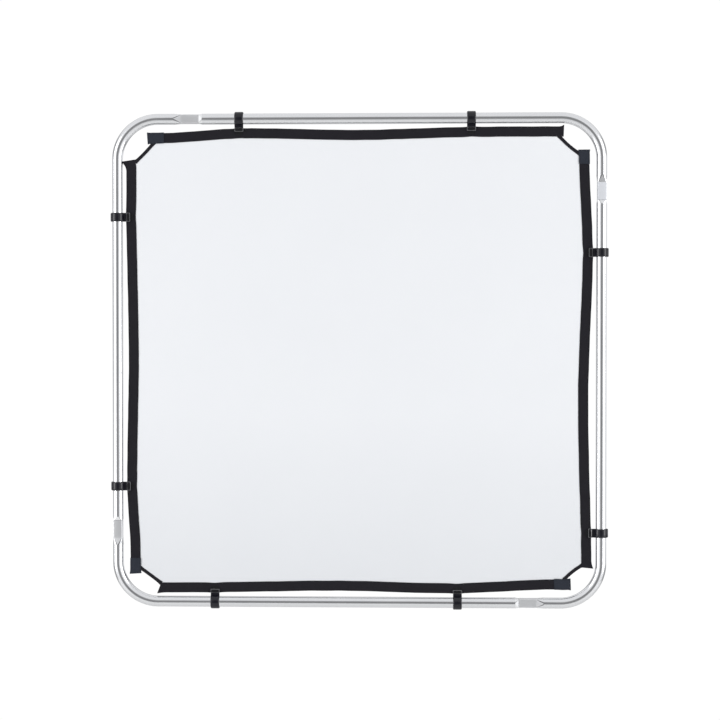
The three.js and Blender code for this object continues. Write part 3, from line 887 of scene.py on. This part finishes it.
def build_sheet():
    """The diffuser: a fine grid cut to the sheet's outline, barely rippled where the clips pull on it."""
    grid = np.linspace(-SHEET_REACH, SHEET_REACH, SHEET_CELLS + 1)
    bm = bmesh.new()
    points = [[bm.verts.new((x, 0, z)) for x in grid] for z in grid]
    for low, high in zip(points, points[1:]):
        for j in range(SHEET_CELLS):
            bm.faces.new((low[j], low[j + 1], high[j + 1], high[j]))
    for side in SIDES:
        a, b = turn([(s, 0, r) for s, r in SHEET_CUT[side]], side)
        direction = b - a
        normal = Vector((-direction[2], 0, direction[0]))
        everything = bm.verts[:] + bm.edges[:] + bm.faces[:]
        bmesh.ops.bisect_plane(bm, geom=everything, plane_co=a, plane_no=normal, clear_outer=True)
    pulls = [turn((clip_along(side, i), 0, SHEET_REACH), side) for side in SIDES for i in (1, 2)]
    for v in bm.verts:
        x, z = abs(v.co.x), abs(v.co.z)
        edge = min(SHEET_REACH - x, SHEET_REACH - z, (SHEET_CUT_SUM - x - z) / SHEET_CUT_SLANT)
        calm = min(1.0, max(0.0, edge - SHEET_CALM_EDGE) / SHEET_CALM_FADE)
        wave = SHEET_WAVE * noise.noise(Vector((v.co.x * SHEET_WAVE_SCALE, 4.7, v.co.z * SHEET_WAVE_SCALE)))
        for pull in pulls:
            dx, dz = v.co.x - pull[0], v.co.z - pull[2]
            fade = math.exp(-math.hypot(dx, dz) / PULL_WAVE_REACH)
            wave += PULL_WAVE * fade * math.sin(PULL_WAVES_ROUND * math.atan2(dz, dx))
        v.co.y = wave * calm
    bow_cuts(bm)
    area = sum(f.calc_area() for f in bm.faces)
    mesh = bpy.data.meshes.new("diffuser_sheet_cloth")
    bm.to_mesh(mesh)
    bm.free()
    mesh.shade_smooth()
    obj = linked("diffuser_sheet_cloth", mesh)
    solid = obj.modifiers.new("cloth", "SOLIDIFY")
    solid.thickness, solid.offset = SHEET_THICK, 0
    apply_modifiers(obj)
    settle(obj, "fabric_panel", "diffuser", DIFFUSER, "diffuser_sheet")


def finish_cords():
    """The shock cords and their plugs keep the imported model's shapes. The plugs' edges are rounded."""
    for node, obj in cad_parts.items():
        if node.startswith(("shock_cord", "cord_plug")):
            obj.data.materials.clear()
            obj.data.materials.append(BRAID if node.startswith("shock_cord") else PLUG)
        if node.startswith("cord_plug"):
            edges = obj.modifiers.new("edges", "BEVEL")
            edges.width, edges.segments = 0.8 * MM, 3
            edges.limit_method, edges.angle_limit = "ANGLE", math.radians(60)


# ---------------------------------------------------------------- the object


for side in SIDES:
    build_tube(side)
build_clips()
build_loops()
hem_pieces = [piece for side in SIDES for piece in build_border(side) + [build_binding(side)]]
build_sheet()
finish_cords()


# ---------------------------------------------------------------- camera, floor and light

DISTANCE = 3.782
LENS = 85.0
SENSOR = 36.0
ELEVATION = math.radians(1.0)
AZIMUTH = math.radians(1.9)
AIM = Vector((3.2 * MM, 0, 2.0 * MM))
DARK = 0.25
DARK_REACH = (0.42, 0.50)
SIDE_LIGHT, TOP_LIGHT, FLOOR_LIGHT = 0.98, 0.84, 0.70
BESIDE_LEFT, BESIDE_RIGHT, BEHIND = 0.62, 0.9, 0.38
FLOOR_DROP = -1.45
FLOOR_RADIUS = 2.4
PANEL_SIZE = (1.3, 3.3)
PANEL_RADIANCE = 3.5


def add_camera():
    """The photo's camera: a long lens, a little to the right of the frame's middle and a little above it."""
    data = bpy.data.cameras.new("camera")
    data.lens, data.sensor_width = LENS, SENSOR
    camera = linked("camera", data)
    level = math.cos(ELEVATION)
    back = Vector((math.sin(AZIMUTH) * level, -math.cos(AZIMUTH) * level, math.sin(ELEVATION)))
    camera.location = AIM + back * DISTANCE
    camera.rotation_mode = "QUATERNION"
    camera.rotation_quaternion = (-back).to_track_quat("-Z", "Y")
    bpy.context.scene.camera = camera


def add_panel(name, place):
    """Tall soft light that faces the middle of the frame."""
    data = bpy.data.lights.new(name, "AREA")
    data.shape = "RECTANGLE"
    data.size, data.size_y = PANEL_SIZE
    data.energy = PANEL_RADIANCE * PANEL_SIZE[0] * PANEL_SIZE[1] * math.pi
    light = linked(name, data)
    light.location = place
    light.rotation_mode = "QUATERNION"
    light.rotation_quaternion = (-Vector(place)).to_track_quat("-Z", "Y")


def add_floor():
    """Round pale floor, well below the frame."""
    angles = np.linspace(0, 2 * math.pi, 96, endpoint=False)
    edge = ((FLOOR_RADIUS - 0.02, 0), (FLOOR_RADIUS, -0.006), (FLOOR_RADIUS, -0.03))
    rings = [[(reach * math.cos(a), reach * math.sin(a), FLOOR_DROP + depth) for a in angles]
             for reach, depth in ((0.02, 0), *edge, (0.02, -0.03))]
    floor = loft("studio_floor", rings, sharp=40)
    f = Finish("floor_paint", Roughness=0.8)
    f.colour(f.noise(f.place("Object"), 3.0, 4.0), (0.76, 0.76, 0.755), (0.80, 0.80, 0.795))
    floor.data.materials.append(f.material)


def add_world():
    """White to the camera, and a studio to all that is lit or mirrored: a pale room that is darker where
    the camera stands, under the frame and behind it."""
    world = bpy.data.worlds.new("studio")
    bpy.context.scene.world = world
    world.use_nodes = True
    world.node_tree.nodes.clear()

    def node(kind, settings=None, **inputs):
        return add_node(world.node_tree, kind, settings, inputs)

    def step(value, start, end, low, high):
        made = node("ShaderNodeMapRange", {"interpolation_type": "SMOOTHSTEP"},
                    Value=value, From_Min=start, From_Max=end, To_Min=low, To_Max=high)
        return made.outputs["Result"]

    def sums(operation, a, b):
        return node("ShaderNodeMath", {"operation": operation}, _0=a, _1=b).outputs["Value"]

    toward = node("ShaderNodeSeparateXYZ", Vector=node("ShaderNodeTexCoord").outputs["Generated"])
    x, y, z = (toward.outputs[axis] for axis in "XYZ")
    upright = sums("ABSOLUTE", z, 0.0)
    level = sums("MULTIPLY", step(z, 0.2, 0.7, 1.0, TOP_LIGHT / SIDE_LIGHT),
                 step(z, -0.7, -0.2, FLOOR_LIGHT / SIDE_LIGHT, 1.0))
    wide, tall = sums("DIVIDE", x, DARK_REACH[0]), sums("DIVIDE", z, DARK_REACH[1])
    off_axis = sums("ADD", sums("MULTIPLY", wide, wide), sums("MULTIPLY", tall, tall))
    camera_side = sums("MAXIMUM", step(off_axis, 0.2, 1.5, DARK, 1.0), step(y, -0.3, 0.0, 0.0, 1.0))
    beside = step(x, -0.3, 0.3, BESIDE_LEFT, BESIDE_RIGHT)
    behind = sums("MAXIMUM", step(y, -0.25, 0.15, 1.0, step(upright, 0.1, 0.22, beside, BEHIND)),
                  step(upright, 0.3, 0.6, 0.0, 1.0))
    room_light = sums("MULTIPLY", sums("MULTIPLY", camera_side, behind), sums("MULTIPLY", level, SIDE_LIGHT))
    room = node("ShaderNodeBackground", Color=(0.97, 0.98, 1.0, 1), Strength=room_light)
    white = node("ShaderNodeBackground", Color=(1, 1, 1, 1), Strength=1.02)
    mix = node("ShaderNodeMixShader", Fac=node("ShaderNodeLightPath").outputs["Is Camera Ray"],
               _1=room.outputs["Background"], _2=white.outputs["Background"])
    node("ShaderNodeOutputWorld", Surface=mix.outputs["Shader"])


add_camera()
add_floor()
add_world()
add_panel("left_panel", (-3.2, -1.8, 0.3))
add_panel("right_panel", (3.2, -1.8, 0.3))
bpy.context.scene.view_settings.view_transform = "Standard"
bpy.context.scene.view_settings.look = "None"
